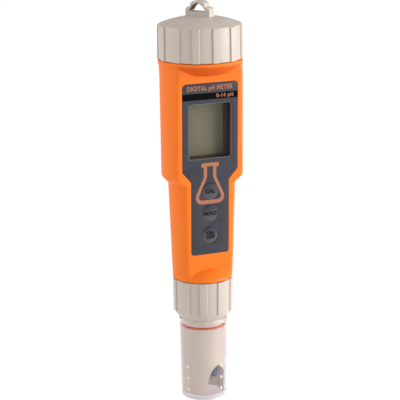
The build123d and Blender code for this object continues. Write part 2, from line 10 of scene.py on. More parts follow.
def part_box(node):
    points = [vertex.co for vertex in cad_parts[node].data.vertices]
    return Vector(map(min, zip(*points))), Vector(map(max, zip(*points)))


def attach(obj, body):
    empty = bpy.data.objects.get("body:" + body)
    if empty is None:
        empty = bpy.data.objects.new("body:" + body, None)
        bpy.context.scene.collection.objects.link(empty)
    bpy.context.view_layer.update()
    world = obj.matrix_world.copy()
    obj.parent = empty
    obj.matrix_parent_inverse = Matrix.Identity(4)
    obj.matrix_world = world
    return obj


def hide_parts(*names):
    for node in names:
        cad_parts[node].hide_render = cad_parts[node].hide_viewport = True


# Looks of a pocket pH meter. Sizes are in millimetres and angles in degrees, measured round the
# barrel from the front towards +X, unless a line says otherwise; meshes are written in metres.

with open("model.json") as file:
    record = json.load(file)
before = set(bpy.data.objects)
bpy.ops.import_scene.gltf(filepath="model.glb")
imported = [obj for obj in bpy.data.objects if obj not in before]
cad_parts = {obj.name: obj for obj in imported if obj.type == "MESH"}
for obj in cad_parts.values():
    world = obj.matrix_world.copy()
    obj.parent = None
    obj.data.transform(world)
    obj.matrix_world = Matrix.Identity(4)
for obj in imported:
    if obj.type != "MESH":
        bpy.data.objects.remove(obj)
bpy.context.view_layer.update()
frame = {"nodes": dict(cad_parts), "record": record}

MM = 0.001
nodes = frame["nodes"]


def node_levels(node):
    """Lowest and highest level of a CAD node, in millimetres."""
    low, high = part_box(node)
    return low.z / MM, high.z / MM


# ---- driving dimensions, as in the CAD -------------------------------------------------------
barrel_foot, barrel_foot_radius = 58.8, 13.87
waist = (104.5, 15.48)
shoulder_top = (107.7, 18.75)
head_top = (158.9, 19.0)
head_forward = 0.65      # how far the head's round stands forward of the axis
rim_radius = 19.38
rim_foot, rim_top = 160.2, 161.6
tail_radius, socket_bore, socket_top = 11.0, 9.6, 62.0
neck_radius, neck_bore, ledge = 16.6, 14.9, 159.9
grip_bend = (67.0, 14.24)
barrel_wall, front_wall = 2.1, 2.2
front_level, front_reach, front_lean = 100.0, 9.87, 0.0249
lower_scoop, lower_scoop_slope = (63.7, 10.4), 1.0
upper_scoop, upper_scoop_slope = (155.5, 13.4), 0.742
label_half, label_slim_half = 13.6, 9.3
label_top, label_foot = 51.98, -28.36
label_step = (11.3, 6.5)
label_corner, label_pocket, label_thickness = 2.0, 0.5, 0.4
label_face = label_thickness - label_pocket
print_height = label_face + 0.004
ink_thickness, ink_edge = 0.012, 0.002
window_half, window_foot, window_top, window_corner = 10.45, 16.95, 42.55, 1.5
key_levels = {"key_calibrate": 1.5, "key_hold": -9.0, "key_power": -19.3}
key_hole, key_radius, key_dome = 4.3, 4.15, 0.45
cap_foot, cap_edge, cap_crown = 161.85, 177.15, 181.05
cap_radius, cap_top_radius, cap_valley = 19.6, 19.42, 0.65
cap_ribs, cap_rib_turn, cap_rib_width = 13, -28.3, 3.3
cap_bore, cap_seat_radius, cap_seat_top, cap_roof = 17.45, 18.0, 163.5, 173.6
cap_pitch, neck_thread_span, cap_thread_span = 3.5, (164.6, 171.2), (164.9, 172.4)
collar_pitch, tail_thread_span, collar_thread_span = 3.0, (48.6, 56.8), (48.5, 57.2)
post_radius, post_span = 1.2, (172.9, 175.4)
loop_turn, loop_thickness = -54.0, 4.5
collar_foot, collar_foot_radius = 39.6, 11.2
collar_chamfer_top, collar_radius = 43.35, 14.0
collar_top, collar_top_radius, collar_valley = 58.5, 14.2, 0.55
collar_ribs, collar_rib_turn, collar_rib_width = 10, -21.2, 3.65
collar_shelf, collar_hole, collar_bore = 43.6, 10.2, 11.75
cup_height, cup_foot_radius, cup_mouth_radius = 39.3, 10.55, 11.1
cup_wall, cup_floor = 0.8, 1.2
cup_taper_top = cup_height - 2.3
nub_radius, nub_rise = 0.85, 0.42
nub_levels, nub_columns = (5.2, 10.8, 16.4), (-64.0, 26.0, 116.0, 206.0)
wet_wall = 1.06          # wall where the shroud sits wet against it, so that no air gap shows
tail_foot = node_levels("barrel")[0]
neck_top = node_levels("barrel")[1]
total_height = node_levels("battery_cap")[1]


# ---- shapes ----------------------------------------------------------------------------------
def path(corners, closed=False, steps=6):
    """Points along (u, v, corner radius) corners, each corner turned into a tangent arc."""
    points = []
    count = len(corners)
    for i, (u, v, radius) in enumerate(corners):
        corner = Vector((u, v))
        at_end = not closed and i in (0, count - 1)
        if not radius or at_end:
            points.append(corner)
            continue
        before = (Vector(corners[i - 1][:2]) - corner).normalized()
        after = (Vector(corners[(i + 1) % count][:2]) - corner).normalized()
        half = before.angle(after) / 2
        centre = corner + (before + after).normalized() * (radius / sin(half))
        start = corner + before * (radius / tan(half)) - centre
        sweep = (pi - 2 * half) * (1 if before.x * after.y - before.y * after.x < 0 else -1)
        for step in range(steps + 1):
            points.append(centre + Matrix.Rotation(sweep * step / steps, 2) @ start)
    return np.array([tuple(p) for p in points])


def mesh_object(name, vertices, faces, sharp=32.0):
    """Mesh object from points in millimetres, smooth but for edges sharper than this angle."""
    mesh = bpy.data.meshes.new(name)
    mesh.from_pydata((np.asarray(vertices) * MM).tolist(), [], faces)
    return finished(name, mesh, sharp)


def finished(name, mesh, sharp=32.0):
    """Links a mesh as an object, merges its doubled points and sets its shading."""
    work = bmesh.new()
    work.from_mesh(mesh)
    bmesh.ops.remove_doubles(work, verts=work.verts, dist=2e-6)
    bmesh.ops.dissolve_degenerate(work, edges=work.edges, dist=1e-7)
    bmesh.ops.recalc_face_normals(work, faces=work.faces)
    work.to_mesh(mesh)
    work.free()
    mesh.shade_smooth()
    mesh.set_sharp_from_angle(angle=radians(sharp))
    piece = bpy.data.objects.new(name, mesh)
    bpy.context.scene.collection.objects.link(piece)
    return piece


def lathe(name, turns, radii, levels, closed=True):
    """Surface round Z: radii and levels hold one row per station and one column per turn."""
    rows, columns = radii.shape
    turn = np.radians(turns)
    x = radii * np.sin(turn)
    y = -radii * np.cos(turn)
    vertices = np.stack([x, y, levels], axis=-1).reshape(-1, 3)
    faces = []
    for row in range(rows if closed else rows - 1):
        above = (row + 1) % rows
        for column in range(columns):
            beside = (column + 1) % columns
            faces.append((row * columns + column, row * columns + beside,
                          above * columns + beside, above * columns + column))
    return mesh_object(name, vertices, faces)


def even_turns(count):
    """Evenly spaced turns round the axis."""
    return np.arange(count) * 360.0 / count


def revolved(name, corners, count):
    """Plain solid of revolution from (radius, level, corner radius) corners."""
    line = path(corners, closed=True)
    radii = np.repeat(line[:, :1], count, axis=1)
    levels = np.repeat(line[:, 1:], count, axis=1)
    return lathe(name, even_turns(count), radii, levels)


def rib_stations(count, first, width, radius):
    """Turns round a ribbed part, how much each belongs to a rib, and how near a rib's foot it is."""
    flank, crease_width = 0.34, 0.22
    pitch = 2 * pi * radius / count
    edge = width / 2 + flank * np.linspace(-0.5, 0.5, 7)
    beyond = np.linspace(edge[-1] + 0.15, pitch / 2, 6)
    half = np.concatenate([[0.0, 0.2 * width, 0.36 * width], edge, beyond])
    offsets = np.concatenate([-half[::-1], half[1:-1]])
    rise = np.clip((width / 2 + flank / 2 - np.abs(offsets)) / flank, 0, 1)
    rise = rise * rise * (3 - 2 * rise)
    foot = np.exp(-((np.abs(offsets) - width / 2 - 0.6 * flank) / crease_width) ** 2)
    turns = np.concatenate([first + k * 360 / count + np.degrees(offsets / radius) for k in range(count)])
    return turns, np.tile(rise, count), np.tile(foot, count)


def ribbed(name, rib_line, valley_line, inside_line, stations):
    """Closed ribbed shell: an outer line that swings between rib and valley, and a plain inside."""
    turns, rise, foot = stations
    outer = valley_line[:, None, :] + (rib_line - valley_line)[:, None, :] * rise[None, :, None]
    inner = np.repeat(inside_line[:, None, :], len(turns), axis=1)
    both = np.concatenate([outer, inner])
    piece = lathe(name, turns, both[..., 0], both[..., 1])
    mark_rib_foot_shade(piece, turns, foot, valley_line)
    return piece


def mark_rib_foot_shade(piece, turns, foot, valley_line):
    """Stores how deep in a rib's foot each point of a ribbed part lies, as the mask of the painted shade at
    the rib feet.
    """
    order = np.argsort(turns % 360)
    co = np.array([v.co for v in piece.data.vertices]) / MM
    turn = np.degrees(np.arctan2(co[:, 0], -co[:, 1])) % 360
    near = np.interp(turn, (turns % 360)[order], foot[order], period=360)
    radius = np.hypot(co[:, 0], co[:, 1])
    outside = np.clip(radius - valley_line[:, 0].max() + 1.2, 0, 1)
    layer = piece.data.attributes.new("rib_foot_shade", "FLOAT", "POINT")
    layer.data.foreach_set("value", (near * outside).astype(np.float32))


def smooth_min(a, b, reach):
    """The smaller of two distances, rounded where they cross."""
    share = np.clip(0.5 + 0.5 * (b - a) / reach, 0, 1)
    return b * (1 - share) + a * share - reach * share * (1 - share)


def smooth_max(a, b, reach):
    """The larger of two distances, rounded where they cross."""
    return -smooth_min(-a, -b, reach)


def cut(piece, *cutters):
    """Takes the cutters out of a piece and drops them."""
    for cutter in cutters:
        step = piece.modifiers.new("cut", "BOOLEAN")
        step.operation = "DIFFERENCE"
        step.solver = "EXACT"
        step.object = cutter
    mesh = bpy.data.meshes.new_from_object(piece.evaluated_get(bpy.context.evaluated_depsgraph_get()))
    old = piece.data
    name = piece.name
    bpy.data.objects.remove(piece)
    bpy.data.meshes.remove(old)
    for cutter in cutters:
        bpy.data.meshes.remove(cutter.data)
    return finished(name, mesh)


normal = Vector((0, -1, -front_lean)).normalized()
across = Vector((1, 0, 0))
front = Matrix.Translation(Vector((0, -front_reach, front_level)) * MM) @ Matrix(
    (across, normal.cross(across), normal)
).transposed().to_4x4()


def loft(name, loops, ring=False):
    """Solid through loops of (x, up, out) points drawn on the flat front: a prism, or a closed ring."""
    size, rows = len(loops[0]), len(loops)
    points = [front @ (Vector(p) * MM) / MM for loop in loops for p in loop]
    faces = [] if ring else [tuple(range(size))[::-1], tuple(range(size * (rows - 1), size * rows))]
    for row in range(rows if ring else rows - 1):
        above = (row + 1) % rows
        for i in range(size):
            j = (i + 1) % size
            faces.append((row * size + i, row * size + j, above * size + j, above * size + i))
    return mesh_object(name, points, faces)


def raised(line, out):
    """A flat line of (x, up) points at one height out of the front."""
    return [(x, up, out) for x, up in line]


def plate(name, lines, thickness, edge, place, resolution=2):
    """Flat plate with holes: the outer line first, its edges bevelled, its back at height 0."""
    curve = bpy.data.curves.new(name, "CURVE")
    curve.dimensions = "2D"
    curve.fill_mode = "BOTH"
    for line in lines:
        spline = curve.splines.new("POLY")
        spline.points.add(len(line) - 1)
        for point, (u, v) in zip(spline.points, line):
            point.co = (u * MM, v * MM, 0, 1)
        spline.use_cyclic_u = True
    curve.extrude = (thickness / 2 - edge) * MM
    curve.bevel_depth = edge * MM
    curve.bevel_resolution = resolution
    curve.offset = -edge * MM
    return solid_from(curve, name, place @ Matrix.Translation((0, 0, thickness / 2 * MM)))


def solid_from(curve, name, place):
    """Turns a curve or text into a mesh object and sets it in place."""
    holder = bpy.data.objects.new(name + "_line", curve)
    bpy.context.scene.collection.objects.link(holder)
    mesh = bpy.data.meshes.new_from_object(holder.evaluated_get(bpy.context.evaluated_depsgraph_get()))
    bpy.data.objects.remove(holder)
    mesh.transform(place)
    return finished(name, mesh)


def on_front(x, up, out):
    """Place on the flat front."""
    return front @ Matrix.Translation(Vector((x, up, out)) * MM)


def circle(radius, up):
    """Closed round line on the middle of the front."""
    count = 72
    turn = np.arange(count) * 2 * pi / count
    return np.stack([radius * np.cos(turn), up + radius * np.sin(turn)], axis=1)


def words(name, text, height, place, weight, spacing, align="CENTER", narrow=1.0):
    """Printed words, as thin solids of ink."""
    font = bpy.data.curves.new(name, "FONT")
    font.body = text
    font.size = height * MM
    font.extrude = ink_thickness / 2 * MM
    font.offset = weight * MM
    font.space_character = spacing
    font.space_line = 0.86
    font.align_x = align
    font.align_y = "CENTER"
    font.resolution_u = 4
    lifted = place @ Matrix.Translation((0, 0, ink_thickness / 2 * MM))
    return solid_from(font, name, lifted @ Matrix.Diagonal((narrow, 1, 1, 1)))


def helix(name, radius, height, span, pitch, base, crest, first=0.0, inward=False):
    """Screw-thread ridge with run-out ends, its root sunk slightly into the wall."""
    per_turn, root = 72, -0.15
    foot, top = span
    count = ceil((top - foot) / pitch * per_turn)
    side = -1 if inward else 1
    rings = []
    for i in range(count + 1):
        share = i / count
        fade = min(1.0, share * 10, (1 - share) * 10)
        turn = radians(first + i * 360 / per_turn)
        level = foot + i * pitch / per_turn
        for rise, half in ((root, base / 2), (root, -base / 2), (height * fade, -crest / 2),
                           (height * fade, crest / 2)):
            r = radius + side * rise
            rings.append((r * sin(turn), -r * cos(turn), level + half))
    faces = [(0, 1, 2, 3), tuple(range(4 * count, 4 * count + 4))[::-1]]
    for i in range(count):
        for j in range(4):
            k = (j + 1) % 4
            faces.append((4 * i + j, 4 * i + k, 4 * i + 4 + k, 4 * i + 4 + j))
    return mesh_object(name, rings, faces, 40)


# ---- materials -------------------------------------------------------------------------------
def srgb(code):
    """Linear colour from a six-digit sRGB code."""
    parts = [int(code[i:i + 2], 16) / 255 for i in (0, 2, 4)]
    return tuple(((c + 0.055) / 1.055) ** 2.4 if c > 0.04045 else c / 12.92 for c in parts)


class Look:
    """One procedural material, built up from a Principled shader."""

    def __init__(self, name):
        self.material = bpy.data.materials.new(name)
        self.material.use_nodes = True
        self.tree = self.material.node_tree
        self.shader = self.tree.nodes["Principled BSDF"]
        self.place = self.add("ShaderNodeTexCoord").outputs["Object"]

    def add(self, kind, **settings):
        node = self.tree.nodes.new(kind)
        for key, value in settings.items():
            setattr(node, key, value)
        return node

    def link(self, source, target):
        self.tree.links.new(source, target)

    def set(self, **sockets):
        for key, value in sockets.items():
            self.shader.inputs[key.replace("_", " ")].default_value = value

    def coordinate(self, letter):
        """One of the place's three coordinates, in metres."""
        axes = self.add("ShaderNodeSeparateXYZ")
        self.link(self.place, axes.inputs["Vector"])
        return axes.outputs[letter]

    def noise(self, scale, detail=3.0, rough=0.5, stretch=None):
        """Noise with features about 1 / scale metres across."""
        node = self.add("ShaderNodeTexNoise")
        node.inputs["Scale"].default_value = scale
        node.inputs["Detail"].default_value = detail
        node.inputs["Roughness"].default_value = rough
        source = self.place
        if stretch:
            mapping = self.add("ShaderNodeMapping")
            mapping.inputs["Scale"].default_value = stretch
            self.link(source, mapping.inputs["Vector"])
            source = mapping.outputs["Vector"]
        self.link(source, node.inputs["Vector"])
        return node.outputs["Fac"]

    def spread(self, source, low, high, start=0.3, end=0.7):
        """Maps a value from start..end to low..high."""
        node = self.add("ShaderNodeMapRange", clamp=True)
        for key, value in (("From Min", start), ("From Max", end), ("To Min", low), ("To Max", high)):
            node.inputs[key].default_value = value
        self.link(source, node.inputs["Value"])
        return node.outputs["Result"]

    def combine(self, operation, first, second):
        """One arithmetic operation on two values."""
        node = self.add("ShaderNodeMath", operation=operation)
        self.link(first, node.inputs[0])
        self.link(second, node.inputs[1])
        return node.outputs["Value"]

    def blend(self, factor, first, second):
        """Mixes two colours; each is a colour or a socket."""
        node = self.add("ShaderNodeMix", data_type="RGBA")
        self.link(factor, node.inputs[0])
        for socket, value in ((node.inputs[6], first), (node.inputs[7], second)):
            if isinstance(value, tuple):
                socket.default_value = (*value, 1.0)
            else:
                self.link(value, socket)
        return node.outputs[2]

    def mottled(self, colour, other, scale=140.0):
        """Base colour that drifts between two shades."""
        return self.blend(self.spread(self.noise(scale), 0, 1), colour, other)

    def worn(self, colour, edge):
        """Colour that turns to another along outer edges."""
        geometry = self.add("ShaderNodeNewGeometry")
        return self.blend(self.spread(geometry.outputs["Pointiness"], 0, 1, 0.54, 0.62), colour, edge)

    def facing_down(self, foot):
        """How far a surface faces down, above a level in millimetres."""
        normal = self.add("ShaderNodeSeparateXYZ")
        self.link(self.add("ShaderNodeNewGeometry").outputs["Normal"], normal.inputs["Vector"])
        down = self.spread(normal.outputs["Z"], 1, 0, -0.55, -0.12)
        above = self.spread(self.coordinate("Z"), 0, 1, foot * MM, (foot + 1) * MM)
        return self.combine("MULTIPLY", down, above)

    def from_axis(self):
        """Distance from the upright axis, in metres."""
        flat = self.add("ShaderNodeCombineXYZ")
        for letter in "XY":
            self.link(self.coordinate(letter), flat.inputs[letter])
        reach = self.add("ShaderNodeVectorMath", operation="LENGTH")
        self.link(flat.outputs["Vector"], reach.inputs[0])
        return reach.outputs["Value"]

    def colour(self, source):
        self.link(source, self.shader.inputs["Base Color"])

    def roughness(self, low, high, scale=900.0):
        self.link(self.spread(self.noise(scale), low, high), self.shader.inputs["Roughness"])

    def relief(self, scale, depth, detail=2.0, stretch=None):
        """Fine bump, depth in millimetres."""
        bump = self.add("ShaderNodeBump")
        bump.inputs["Strength"].default_value = 1.0
        bump.inputs["Distance"].default_value = depth * MM
        self.link(self.noise(scale, detail, stretch=stretch), bump.inputs["Height"])
        self.link(bump.outputs["Normal"], self.shader.inputs["Normal"])


def darker(colour, share):
    """A colour scaled towards black."""
    return tuple(c * share for c in colour)


def moulded(name, code, drift, gloss, grain=(5200.0, 0.006), edge=None, sheen=0.5, underside_shade=None):
    """Moulded plastic: faint flow mottling, fine spark texture, handled edges, painted shade in the rib feet
    and on undersides.

    The underside argument is the painted shade colour of surfaces that face down, and the level in
    millimetres above which it shows.
    """
    look = Look(name)
    base = srgb(code)
    colour = look.mottled(base, darker(base, drift))
    fine = look.spread(look.noise(2600.0, 4.0), 0, 0.35, 0.45, 0.75)
    colour = look.blend(fine, colour, darker(base, drift * 0.95))
    if edge:
        colour = look.worn(colour, srgb(edge))
    # Painted shade: the feet of the ribs turn darker, where shade falls between the ribs.
    rib_foot_shade = look.add("ShaderNodeAttribute", attribute_name="rib_foot_shade")
    colour = look.blend(look.spread(rib_foot_shade.outputs["Fac"], 0, 0.25, 0, 1), colour, darker(base, 0.5))
    # Painted shade: surfaces that face down, above the given level, take the shade colour.
    if underside_shade:
        colour = look.blend(look.facing_down(underside_shade[1]), colour, srgb(underside_shade[0]))
    look.colour(colour)
    look.roughness(*gloss)
    look.relief(*grain)
    look.set(Specular_IOR_Level=sheen)
    return look.material


def metal(name, code, gloss, stretch=None):
    """Plated or drawn metal with tarnish and fine marks."""
    look = Look(name)
    base = srgb(code)
    look.colour(look.mottled(base, darker(base, 0.75), 420.0))
    look.roughness(*gloss, 1500.0)
    look.relief(3000.0, 0.004, stretch=stretch)
    look.set(Metallic=1.0)
    return look.material


def rubber(name, code, gloss=(0.5, 0.65)):
    """Silicone or rubber with faint bloom."""
    look = Look(name)
    base = srgb(code)
    look.colour(look.mottled(base, tuple(min(1, c * 1.15 + 0.004) for c in base), 600.0))
    look.roughness(*gloss, 1300.0)
    look.relief(7000.0, 0.006)
    return look.material


def clear(name, tint, gloss):
    """Clear glass with faint flow ripples."""
    look = Look(name)
    base = srgb(tint)
    look.colour(look.mottled(base, darker(base, 0.985), 260.0))
    look.roughness(*gloss, 700.0)
    look.relief(420.0, 0.02)
    look.set(Transmission_Weight=1.0, IOR=1.51)
    return look.material


def cup_plastic(name):
    """Clear moulding that tints what lies behind it, cloudy round its foot, with painted highlights on its
    nubs.
    """
    bulk_tint, bulk_density = (0.5, 0.41, 0.41, 1.0), 150.0
    nub_highlight_share, foot_cloud = 0.6, 0.75
    look = Look(name)
    base = srgb("fefdfd")
    reach, height = look.from_axis(), look.coordinate("Z")
    foot = look.spread(height, 1, 0, 1.2 * MM, 3.2 * MM)
    colour = look.blend(foot, look.mottled(base, darker(base, 0.985), 260.0), srgb("ebe1e4"))
    wall = look.spread(height, cup_foot_radius * MM, cup_mouth_radius * MM, 0, cup_taper_top * MM)
    # Painted highlight: the tops of the nubs turn white and opaque.
    nub = look.spread(look.combine("SUBTRACT", reach, wall), 0, nub_highlight_share, 0.2 * MM, 0.36 * MM)
    look.colour(look.blend(nub, colour, srgb("ffffff")))
    rim = look.spread(reach, 0, 1, (cup_foot_radius - 0.9) * MM, (cup_foot_radius - 0.2) * MM)
    low = look.combine("MULTIPLY", look.spread(height, foot_cloud, 0, 0.8 * MM, 3.4 * MM), rim)
    clarity = look.spread(look.combine("MAXIMUM", low, nub), 1, 0, 0, 1)
    look.link(clarity, look.shader.inputs["Transmission Weight"])
    look.roughness(0.03, 0.08, 700.0)
    look.relief(420.0, 0.02)
    look.set(IOR=1.18, Coat_Weight=1.0, Coat_Roughness=0.06)
    bulk = look.add("ShaderNodeVolumeAbsorption")
    bulk.inputs["Color"].default_value = bulk_tint
    bulk.inputs["Density"].default_value = bulk_density
    look.link(bulk.outputs["Volume"], look.tree.nodes["Material Output"].inputs["Volume"])
    return look.material


def lens(name):
    """Flat clear window: mostly open, so that the display behind it stays lit."""
    look = Look(name)
    base = srgb("24262a")
    look.colour(look.mottled(base, darker(base, 0.97), 300.0))
    look.roughness(0.04, 0.09, 800.0)
    look.relief(300.0, 0.004)
    look.set(Alpha=0.14, Specular_IOR_Level=0.3)
    return look.material


def circuit(name):
    """Solder mask with traces that show as lighter runs."""
    look = Look(name)
    base = srgb("1d5a38")
    wave = look.add("ShaderNodeTexWave", wave_type="BANDS", bands_direction="X")
    wave.inputs["Scale"].default_value = 260.0
    wave.inputs["Distortion"].default_value = 2.5
    wave.inputs["Detail Scale"].default_value = 0.6
    look.link(look.place, wave.inputs["Vector"])
    trace = look.spread(wave.outputs["Fac"], 0, 1, 0.62, 0.7)
    look.colour(look.blend(trace, look.mottled(base, darker(base, 0.8)), srgb("2f7a4c")))
    look.roughness(0.3, 0.45)
    look.relief(3500.0, 0.006)
    return look.material


def film(name, code, spark):
    """Printed polycarbonate film: velvet texture under a hard coat."""
    look = Look(name)
    base = srgb(code)
    colour = look.mottled(base, darker(base, 0.9), 180.0)
    fine = look.spread(look.noise(6500.0, 2.0), 0, 0.5, 0.5, 0.75)
    look.colour(look.blend(fine, colour, srgb(spark)))
    look.roughness(0.36, 0.5, 1100.0)
    look.relief(8200.0, 0.005)
    look.set(Specular_IOR_Level=0.12)
    return look.material


def key_face_painted_shade(name, level):
    """Coated key with painted shade: darker and bluer towards its upper edge."""
    look = Look(name)
    # Painted shade: the key's face darkens towards its upper edge.
    upper_shade = look.spread(look.coordinate("Z"), 0, 1, (level - 1.5) * MM, (level + 4.2) * MM)
    base, other = srgb("525256"), srgb("2b2f38")
    colour = look.blend(upper_shade, base, other)
    fine = look.spread(look.noise(6500.0, 2.0), 0, 0.4, 0.5, 0.75)
    look.colour(look.blend(fine, colour, other))
    look.roughness(0.32, 0.44, 1100.0)
    look.relief(8200.0, 0.005)
    look.set(Specular_IOR_Level=0.15)
    return look.material


def shade_wall(name):
    """Matt black wall that fades up to the display's colour beside its glass; the fade is painted shade, a
    soft shadow at the display's edge.
    """
    look = Look(name)
    # Painted shade: the fade from the display's colour to black stands in for the soft shadow at the
    # display's edge.
    near = look.spread(look.coordinate("Y"), 0, 1, -5.6 * MM, -3.2 * MM)
    dark = look.mottled(srgb("120f0e"), srgb("1c1715"), 300.0)
    look.colour(look.blend(near, dark, srgb("84806a")))
    look.roughness(0.6, 0.75)
    look.relief(5200.0, 0.005)
    look.set(Specular_IOR_Level=0.1)
    return look.material


def ink(name, code, sheen=0.1):
    """Screen-printed ink, slightly uneven in cover."""
    look = Look(name)
    base = srgb(code)
    cover = look.spread(look.noise(1900.0, 4.0), 0, 0.5, 0.4, 0.8)
    look.colour(look.blend(cover, base, darker(base, 0.82)))
    look.roughness(0.4, 0.52, 1400.0)
    look.relief(5200.0, 0.004)
    look.set(Specular_IOR_Level=sheen)
    return look.material


def display(name):
    """Unlit reflective liquid crystal: grey-green, slightly grainy, under a satin polariser."""
    look = Look(name)
    base = srgb("a09a7e")
    colour = look.mottled(base, srgb("9a9478"), 90.0)
    fine = look.spread(look.noise(5200.0, 2.0), 0, 0.3, 0.45, 0.75)
    look.colour(look.blend(fine, colour, srgb("8d896e")))
    look.roughness(0.28, 0.36, 600.0)
    look.relief(6000.0, 0.003)
    look.set(Specular_IOR_Level=0.15)
    return look.material


def ceramic(name, code):
    """Porous sintered plug."""
    look = Look(name)
    base = srgb(code)
    pores = look.spread(look.noise(4200.0, 5.0, 0.7), 0, 1, 0.55, 0.68)
    look.colour(look.blend(pores, base, darker(base, 0.6)))
    look.roughness(0.75, 0.9)
    look.relief(4200.0, 0.03, 5.0)
    return look.material


satin, satin_grain = (0.38, 0.5), (4200.0, 0.006)
looks = {
    "beige_plastic": moulded("beige_plastic", "c0b3a7", 0.96, satin, satin_grain, edge="ccc0b4"),
    # The orange's underside colour is painted shade in the scoop under the cap.
    "orange_plastic": moulded("orange_plastic", "ef741a", 0.97, (0.42, 0.52), (5200.0, 0.004), edge="f47f26",
                              sheen=0.2, underside_shade=("da5c14", 150)),
    "label_film": film("label_film", "404148", "35363c"),
    "clear_window": lens("clear_window"),
    "clear_cup": cup_plastic("clear_cup"),
    "orange_silicone": rubber("orange_silicone", "ec5a1e"),
    "black_rubber": rubber("black_rubber", "1b1b1c"),
    "grey_silicone": rubber("grey_silicone", "7d8082"),
    "black_plastic": moulded("black_plastic", "17171a", 0.8, (0.45, 0.6), edge="2b2b2e"),
    "display_cell": display("display_cell"),
    "board_green": circuit("board_green"),
    "white_plastic": moulded("white_plastic", "dad9d2", 0.95, (0.4, 0.55), edge="eceae4"),
    "electrode_glass": clear("electrode_glass", "f2f6f8", (0.01, 0.03)),
    "porous_ceramic": ceramic("porous_ceramic", "dccdbc"),
    "violet_resin": rubber("violet_resin", "5c5a8c", (0.2, 0.35)),
    "gold_contact": metal("gold_contact", "d9b25a", (0.22, 0.34)),
    "nickel": metal("nickel", "c9c7c2", (0.18, 0.32)),
    "silver": metal("silver", "d4d4d6", (0.2, 0.34), (1, 1, 0.1)),
    "steel": metal("steel", "b4b4b2", (0.28, 0.42)),
}
# Painted shade: the lanyard eye's downward faces, inside its hole, are painted dark.
eye_plastic_painted_shade = moulded("eye_plastic_painted_shade", "c0b3a7", 0.96, satin, satin_grain, edge="ccc0b4", underside_shade=("4a4139", 180))
# Painted shade: dark red colour for the sheets in the gaps round the window and the keys, where the orange
# walls lie in shade.
gap_shade_rubber = rubber("gap_shade_sheet", "6a1c0c")
lens_bevel = moulded("lens_bevel", "7c7d80", 0.9, (0.2, 0.3), (5200.0, 0.004))
black_ink = ink("black_ink", "0a0a0b", sheen=0.03)
copper_ink = ink("copper_ink", "ab6f54")
legend_ink = ink("legend_ink", "0b0b0d")


def dress(piece, body, slot, look=None, replaces=()):
    """Gives a new piece its material, its own look or that of its slot, puts it in its body and hides the CAD
    nodes it stands for.
    """
    piece.data.materials.clear()
    piece.data.materials.append(look or looks[slot])
    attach(piece, body)
    if replaces:
        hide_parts(*replaces)
    return piece


# ---- barrel ----------------------------------------------------------------------------------
def flat_distance(level, turns, back=0.0):
    """How far out the flat front lies at a level, along each turn; far away behind the axis."""
    reach = front_reach + front_lean * (level - front_level) - back
    facing = np.cos(np.radians(turns))
    least, far = 0.1, 60.0
    return np.where(facing > least, reach / np.maximum(facing, least), far)


def round_distance(radius, level, turns):
    """Radius of the round section along each turn; in the head it is centred forward of the axis."""
    rise = np.interp(level, (waist[0], shoulder_top[0], head_top[0] - 4, rim_foot), (0, 1, 1, 0))
    forward = head_forward * rise
    turn = np.radians(turns)
    return forward * np.cos(turn) + np.sqrt(radius**2 - (forward * np.sin(turn)) ** 2)


def scoop_distance(level):
    """Radius out to which the barrel stays round at a level, where the scoops end the flat."""
    ramp = 0.35
    reach = 0.0
    for past, start, slope in ((level - upper_scoop[0], upper_scoop[1], upper_scoop_slope),
                               (lower_scoop[0] - level, lower_scoop[1], lower_scoop_slope)):
        if past > -ramp:
            reach = start + past / slope if past > 0 else start * (1 + past / ramp)
    return reach


def barrel_turns():
    """Turns round the barrel, closest together where the flat meets the round."""
    side = np.concatenate([np.arange(0, 40, 1.6), np.arange(40, 66, 0.8), np.arange(66, 180, 2.4)])
    return np.concatenate([side, [180.0], -side[:0:-1]])


def dense(line, steps):
    """The points of a line, cut into steps whose size goes by the band of levels they start in."""
    points = [line[0]]
    for start, end in zip(line[:-1], line[1:]):
        rise = abs(end[1] - start[1])
        along = 0.0
        while along < rise:
            level = start[1] + (end[1] - start[1]) * along / rise
            along = min(rise, along + next(size for top, size in steps if level < top))
            points.append(start + (end - start) * along / rise)
        if not rise:
            points.append(end)
    return points


